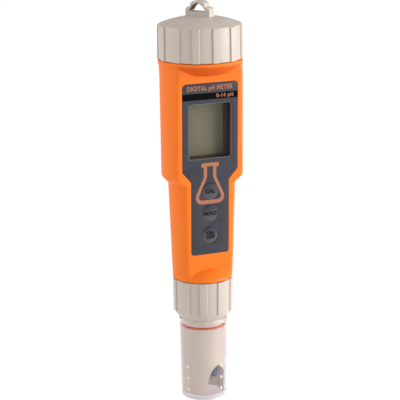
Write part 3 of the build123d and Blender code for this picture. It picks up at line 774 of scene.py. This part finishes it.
def barrel_shell():
    """Barrel with its flat front blended into the round, its scoops, rim, neck and tail."""
    outer = path([
        (tail_radius, tail_foot, 0), (tail_radius, barrel_foot, 0), (barrel_foot_radius, barrel_foot, 0.45),
        (grip_bend[1], grip_bend[0], 8.0), (waist[1], waist[0], 0.9), (shoulder_top[1], shoulder_top[0], 2.3),
        (head_top[1], head_top[0], 0.6), (rim_radius, rim_foot, 0.5), (rim_radius, rim_top, 0.4),
        (neck_radius, rim_top, 0), (neck_radius, neck_top, 0.5), (neck_bore, neck_top, 0),
    ])
    inside_head = shoulder_top[1] - barrel_wall
    inner = path([
        (neck_bore, neck_top, 0), (neck_bore, ledge, 0), (inside_head, ledge, 0),
        (inside_head, shoulder_top[0] + 1, 2.0), (waist[1] - barrel_wall, waist[0] + 1, 1.0),
        (barrel_foot_radius - barrel_wall, socket_top, 0), (socket_bore, socket_top, 0),
        (socket_bore, tail_foot, 0),
    ])
    outer = dense(outer, ((barrel_foot, 20), (65, 0.25), (102.5, 2.5), (111, 0.4), (153.5, 2.5),
                          (rim_top, 0.22), (200, 20)))
    turns = barrel_turns()
    radii = []
    for radius, level in outer:
        row = round_distance(radius, level, turns)
        if barrel_foot < level < rim_top:
            limit = smooth_max(flat_distance(level, turns), scoop_distance(level), 0.5)
            row = smooth_min(row, limit, 1.15)
        radii.append(row)
    for radius, level in inner:
        row = round_distance(radius, level, turns)
        if socket_top <= level <= ledge and radius > socket_bore:
            row = np.minimum(row, flat_distance(level, turns, front_wall))
        radii.append(row)
    levels = np.array([p[1] for p in outer] + [p[1] for p in inner])
    shell = lathe("barrel_shell", turns, np.array(radii), np.repeat(levels[:, None], len(turns), axis=1))
    return cut(shell, *barrel_cutters())


def label_line(play):
    """Outline of the label: wide beside the window, slim beside the keys."""
    half, slim = label_half + play, label_slim_half + play
    turn_in, slim_at = label_step
    right = [(slim, label_foot - play, label_corner * 0.7), (slim, slim_at, 1.5), (half, turn_in, 1.5),
             (half, label_top + play, label_corner)]
    left = [(-x, up, radius) for x, up, radius in reversed(right)]
    return path(right + left, closed=True, steps=8)


def window_line(play):
    """Outline of the display window."""
    left, right = -window_half - play, window_half + play
    low, high = window_foot - play, window_top + play
    corner = window_corner + play
    return path([(right, low, corner), (right, high, corner), (left, high, corner), (left, low, corner)],
                closed=True, steps=8)


def barrel_cutters():
    """The label's pocket with its eased edge, the window's opening and the key holes."""
    play, ease = 0.05, 0.16
    snug, wide = label_line(play), label_line(play + ease)
    pocket = loft("pocket", [raised(snug, -label_pocket), raised(snug, -ease), raised(wide, 0.0),
                             raised(wide, 4.0)])
    window = loft("window", [raised(window_line(play), -front_wall - 1), raised(window_line(play), 1)])
    holes = [loft(f"hole_{i}", [raised(circle(key_hole, up), -front_wall - 1),
                                raised(circle(key_hole, up), 1)])
             for i, up in enumerate(key_levels.values())]
    return [pocket, window, *holes]


dress(barrel_shell(), "meter", "orange_plastic", replaces=["barrel"])
neck_thread = helix("neck_thread", neck_radius, 0.6, neck_thread_span, cap_pitch, 1.7, 0.7)
dress(neck_thread, "meter", "orange_plastic")
tail_thread = helix("tail_thread", tail_radius, 0.55, tail_thread_span, collar_pitch, 1.5, 0.6)
dress(tail_thread, "meter", "orange_plastic")


# ---- label, window and print -----------------------------------------------------------------
def label_plate():
    """Printed film with its window and key openings, its cut edges eased."""
    lines = [label_line(0), window_line(0.1)[::-1]]
    lines += [circle(key_hole, up)[::-1] for up in key_levels.values()]
    return plate("label_plate", lines, label_thickness, 0.07, on_front(0, 0, -label_pocket))


def stripe():
    """Black band across the top of the label."""
    foot, top = 44.4, 47.45
    half = label_half - 0.1
    line = path([(half, foot, 0), (half, top, 0), (-half, top, 0), (-half, foot, 0)], closed=True)
    return plate("label_stripe", [line], ink_thickness, ink_edge, on_front(0, 0, print_height), 0)


def flask_mark():
    """Outline of a plain conical flask, as an outer and an inner line."""
    outer = path([
        (8.9, -4.3, 3.2), (3.1, 8.2, 2.0), (3.1, 13.0, 0.4), (4.3, 13.0, 0.5), (4.3, 15.0, 0.5),
        (-4.3, 15.0, 0.5), (-4.3, 13.0, 0.5), (-3.1, 13.0, 0.4), (-3.1, 8.2, 2.0), (-8.9, -4.3, 3.2),
    ], closed=True, steps=8)
    inner = path([
        (6.4, -2.5, 1.6), (1.5, 8.4, 2.0), (1.5, 13.4, 0.3), (-1.5, 13.4, 0.3), (-1.5, 8.4, 2.0),
        (-6.4, -2.5, 1.6),
    ], closed=True, steps=8)
    return [outer, inner[::-1]]


def gap_shade_lining(name, inner, outer, face, back):
    """Thin dark sheet lining an opening, between two lines drawn on the flat front: painted shade in the gap.
    """
    rings = [raised(outer, back), raised(outer, face), raised(inner, face), raised(inner, back)]
    return dress(loft(name, rings, ring=True), "meter", "black_rubber", gap_shade_rubber)


# Painted shade: dark sheets line the window's opening and the key holes.
gap_shade_lining("window_gap_shade", window_line(-0.1), window_line(0.04), -label_pocket - 0.02, -front_wall - 0.6)
for key, up in key_levels.items():
    gap_shade_lining(f"{key}_liner", circle(key_hole - 0.08, up), circle(key_hole + 0.02, up), label_face - 0.06,
          -front_wall)
lens_edge = plate("lens_edge", [window_line(0.07), window_line(-0.14)[::-1]], 0.26, 0.09,
                  on_front(0, 0, -label_pocket + 0.1))
dress(lens_edge, "meter", "clear_window", lens_bevel)
dress(label_plate(), "meter", "label_film", replaces=["label_overlay"])
dress(stripe(), "meter", "label_film", black_ink)
header = words("label_header", "DIGITAL pH METER", 2.9, on_front(-0.2, 49.6, print_height), 0.075, 1.08,
               narrow=0.84)
dress(header, "meter", "label_film", copper_ink)
over_stripe = print_height + ink_thickness + ink_edge
scale_words = words("label_scale", "0-14 pH", 2.5, on_front(11.5, 45.9, over_stripe), 0.06, 1.14, "RIGHT",
                    narrow=0.9)
dress(scale_words, "meter", "label_film", copper_ink)
mark = plate("label_mark", flask_mark(), ink_thickness, ink_edge, on_front(0, 0, print_height), 0)
dress(mark, "meter", "label_film", copper_ink)


# ---- keys ------------------------------------------------------------------------------------
def domed_words(name, text, height, key):
    """Legend printed on a key's domed face."""
    proud = 0.02
    legend = words(name, text, height, Matrix.Identity(4), 0.13, 1.06)
    sphere = (key_radius**2 + key_dome**2) / (2 * key_dome)
    for vertex in legend.data.vertices:
        x, y = vertex.co.x / MM, vertex.co.y / MM
        vertex.co.z += (sqrt(sphere**2 - x**2 - y**2) - sphere + key_dome + label_face + proud) * MM
    legend.data.transform(on_front(0, key_levels[key], 0))
    dress(legend, key, "key_rubber", legend_ink)


domed_words("legend_calibrate", "CAL", 2.5, "key_calibrate")
domed_words("legend_hold", "HOLD", 2.3, "key_hold")
domed_words("legend_power", "ON\nOFF", 2.3, "key_power")


# ---- display ---------------------------------------------------------------------------------
def display_film():
    """Polariser on the front of the display."""
    half, foot, top, corner = 9.3, 117.3, 142.9, 0.5
    gap, thickness, edge = 0.02, 0.2, 0.04
    front_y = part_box("lcd_glass")[0].y - gap * MM
    place = Matrix.Translation((0, front_y, 0)) @ Matrix.Rotation(radians(90), 4, "X")
    line = path([(half, foot, corner), (half, top, corner), (-half, top, corner), (-half, foot, corner)],
                closed=True)
    return plate("display_film", [line], thickness, edge, place)


dress(display_film(), "meter", "display_cell")


# ---- battery cap -----------------------------------------------------------------------------
def dome_level(radius):
    """Level of the cap's spherical crown at a radius."""
    drop = cap_crown - cap_edge
    sphere = (cap_top_radius**2 + drop**2) / (2 * drop)
    return cap_crown - sphere + sqrt(sphere**2 - radius**2)


def cap_shell():
    """Ribbed screw cap with its crown; ribs and valleys end under the same dome."""
    def outer(radius, top_radius, edge_round):
        line = [(radius - 1.0, cap_foot, 0), (radius, cap_foot, 0.2),
                (top_radius, dome_level(top_radius), edge_round)]
        line += [(share * top_radius, dome_level(share * top_radius), 0)
                 for share in (0.9, 0.78, 0.64, 0.5, 0.36, 0.22, 0.1, 0)]
        return path(line)
    inside = path([
        (0, 175.2, 0), (4.0, 175.2, 0.3), (4.0, 177.0, 0.5), (9.0, 176.4, 2.0), (cap_bore, cap_roof, 0.5),
        (cap_bore, cap_seat_top + 0.3, 0), (cap_seat_radius, cap_seat_top, 0), (cap_seat_radius, cap_foot, 0),
    ])
    stations = rib_stations(cap_ribs, cap_rib_turn, cap_rib_width, cap_radius)
    return ribbed("cap_shell", outer(cap_radius, cap_top_radius, 0.8),
                  outer(cap_radius - cap_valley, cap_top_radius - cap_valley, 0.5), inside, stations)


def lanyard_eye():
    """Thick eye with stepped shoulders and a D-shaped hole."""
    foot, shoulder, floor = 178.5, 184.95, 182.85
    half = [(6.35, foot, 0), (6.3, shoulder, 1.6), (3.85, shoulder, 0.3), (3.85, 187.0, 1.7)]
    top = [(0, total_height + 0.3, 6.0)]
    outer = path(half + top + [(-x, up, radius) for x, up, radius in reversed(half)], closed=True, steps=8)
    arch = [(4.3, floor, 0.25), (2.75, 185.2, 2.5)]
    hole = path(arch + [(0, 187.05, 2.2)] + [(-x, up, radius) for x, up, radius in reversed(arch)],
                closed=True, steps=8)
    place = Matrix.Rotation(radians(loop_turn), 4, "Z") @ Matrix.Rotation(radians(90), 4, "X")
    place = place @ Matrix.Translation((0, 0, -loop_thickness / 2 * MM))
    return plate("lanyard_eye", [outer, hole[::-1]], loop_thickness, 0.3, place, 3)


dress(cap_shell(), "battery_cap", "beige_plastic", replaces=["battery_cap"])
dress(lanyard_eye(), "battery_cap", "beige_plastic", eye_plastic_painted_shade)
cap_thread = helix("cap_thread", cap_bore, 0.6, cap_thread_span, cap_pitch, 1.4, 0.6, 180, inward=True)
dress(cap_thread, "battery_cap", "beige_plastic")
post_foot, post_top = post_span
swivel_post = revolved("swivel_post", [(0, post_foot, 0), (post_radius, post_foot, 0.3),
                                       (post_radius, post_top, 0), (0, post_top, 0)], 48)
dress(swivel_post, "battery_cap", "beige_plastic")


# ---- collar nut ------------------------------------------------------------------------------
def collar_shell():
    """Ribbed nut with a conical foot, into which the ribs run out."""
    slope = (collar_chamfer_top - collar_foot) / (collar_radius - collar_foot_radius)
    valley_foot = collar_chamfer_top - slope * collar_valley

    def outer(depth, knee):
        return path([
            (collar_hole + 0.4, collar_foot, 0), (collar_foot_radius, collar_foot, 0.3),
            (collar_radius - depth, knee, 0.5), (collar_top_radius - depth, collar_top, 0.35),
            (collar_bore + 0.4, collar_top, 0),
        ])
    inside = path([
        (collar_bore, collar_top, 0), (collar_bore, collar_shelf, 0), (collar_hole, collar_shelf, 0),
        (collar_hole, collar_foot, 0),
    ])
    stations = rib_stations(collar_ribs, collar_rib_turn, collar_rib_width, collar_radius)
    return ribbed("collar_shell", outer(0, collar_chamfer_top), outer(collar_valley, valley_foot), inside,
                  stations)


dress(collar_shell(), "collar_nut", "beige_plastic", replaces=["collar_nut"])
collar_thread = helix("collar_thread", collar_bore, 0.55, collar_thread_span, collar_pitch, 1.2, 0.5, 180,
                      inward=True)
dress(collar_thread, "collar_nut", "beige_plastic")


# ---- storage cup -----------------------------------------------------------------------------
def cup_shell():
    """Clear cup: thin tapered wall, rolled mouth, and columns of grip nubs on the wall."""
    lip = cup_mouth_radius + 0.1
    mouth_bore = cup_mouth_radius - cup_wall
    line = path([
        (0, 0, 0), (cup_foot_radius, 0, 1.1), (cup_mouth_radius, cup_taper_top, 0.3),
        (lip, cup_taper_top + 0.5, 0.3), (lip, cup_height, 0.38), (mouth_bore, cup_height, 0.3),
        (mouth_bore, cup_height - 2.4, 0.3), (cup_mouth_radius - wet_wall, cup_height - 3.0, 0.3),
        (cup_foot_radius - wet_wall, 2.6, 0.2), (cup_foot_radius - cup_wall, cup_floor, 0.8),
        (0, cup_floor, 0),
    ])
    line = dense(line, ((3.0, 1.0), (19.5, 0.16), (100, 20)))
    turns = even_turns(360)
    radii = []
    for radius, level in line:
        row = np.full(len(turns), float(radius))
        if radius > cup_foot_radius - 0.3:
            for column in nub_columns:
                away = (turns - column + 180) % 360 - 180
                for nub in nub_levels:
                    gap = np.hypot(np.radians(away) * radius, level - nub)
                    row = row + nub_rise * np.sqrt(np.clip(1 - (gap / nub_radius) ** 2, 0, 1))
        radii.append(row)
    levels = np.repeat(np.array([p[1] for p in line])[:, None], len(turns), axis=1)
    return lathe("cup_shell", turns, np.array(radii), levels, closed=False)


dress(cup_shell(), "storage_cup", "clear_cup", replaces=["storage_cup"])


# ---- materials of the CAD pieces that stay ---------------------------------------------------
node_slots = {part["node"]: part["material_slot"] for part in frame["record"]["subparts"]}
own_looks = {key: key_face_painted_shade(f"{key}_face", front_level + up) for key, up in key_levels.items()}
# Painted light: the shroud's beige is lighter than the cap's, standing in for the light that reaches it
# through the clear cup.
own_looks["electrode_body"] = moulded("shroud_plastic_painted_light", "ebdccf", 0.97, satin, satin_grain, edge="e8dace")
own_looks["lcd_frame"] = shade_wall("frame_wall")
for name, node in nodes.items():
    node.data.materials.clear()
    node.data.materials.append(own_looks.get(name) or looks[node_slots[name]])
    node.data.shade_smooth()
    node.data.set_sharp_from_angle(angle=radians(30))


# ---- floor, light and camera -----------------------------------------------------------------
def studio_floor():
    """Pale seamless floor, low enough for the cup to be drawn off above it."""
    half, level = 6000, -60
    corners = [(-half, -half, level), (half, -half, level), (half, half, level), (-half, half, level)]
    floor = mesh_object("studio_floor", corners, [(0, 1, 2, 3)])
    look = Look("studio_paper")
    grey = (0.04, 0.04, 0.04)
    look.colour(look.mottled(grey, darker(grey, 0.875), 3.0))
    look.roughness(0.85, 0.95, 20.0)
    look.relief(900.0, 0.05)
    look.set(Specular_IOR_Level=0.0, Emission_Color=(1, 1, 1, 1), Emission_Strength=1.0)
    floor.data.materials.append(look.material)


def softbox(name, turn, height, distance, width, tall, power):
    """Rectangular soft light at a turn round the object, aimed at its middle; sizes in metres."""
    aim = Vector((0, 0, 0.1))
    lamp = bpy.data.lights.new(name, "AREA")
    lamp.shape = "RECTANGLE"
    lamp.size, lamp.size_y = width, tall
    lamp.energy = power
    holder = bpy.data.objects.new(name, lamp)
    place = Vector((sin(radians(turn)) * distance, -cos(radians(turn)) * distance, height))
    holder.location = place
    holder.rotation_euler = (aim - place).to_track_quat("-Z", "Y").to_euler()
    bpy.context.scene.collection.objects.link(holder)


def studio_camera():
    """Camera left of the display and slightly above it, looking down at the meter."""
    stand = (-0.27694, -0.65912, 0.27652)
    yaw, pitch, roll = radians(-22.79), radians(-14.233), radians(0.632)
    camera = bpy.data.cameras.new("camera")
    camera.lens, camera.sensor_width = 143.2, 36.0
    camera.shift_x = -0.0045
    camera.clip_start, camera.clip_end = 0.01, 50
    holder = bpy.data.objects.new("camera", camera)
    heading = Matrix.Rotation(yaw, 4, "Z") @ Matrix.Rotation(radians(90) + pitch, 4, "X")
    heading = heading @ Matrix.Rotation(-roll, 4, "Z")
    holder.matrix_world = Matrix.Translation(stand) @ heading
    bpy.context.scene.collection.objects.link(holder)
    bpy.context.scene.camera = holder


studio_floor()
softbox("key_light", 56, 0.35, 1.4, 1.3, 1.1, 29)
softbox("fill_light", -106, 0.75, 1.25, 1.1, 1.2, 9.5)
softbox("top_light", 0, 1.6, 0.05, 1.2, 1.2, 2)
world = bpy.data.worlds.new("studio")
world.use_nodes = True
background = world.node_tree.nodes["Background"]
background.inputs["Color"].default_value = (1, 1, 1, 1)
background.inputs["Strength"].default_value = 0.48
scene = bpy.context.scene
scene.world = world
scene.view_settings.view_transform = "Standard"
studio_camera()
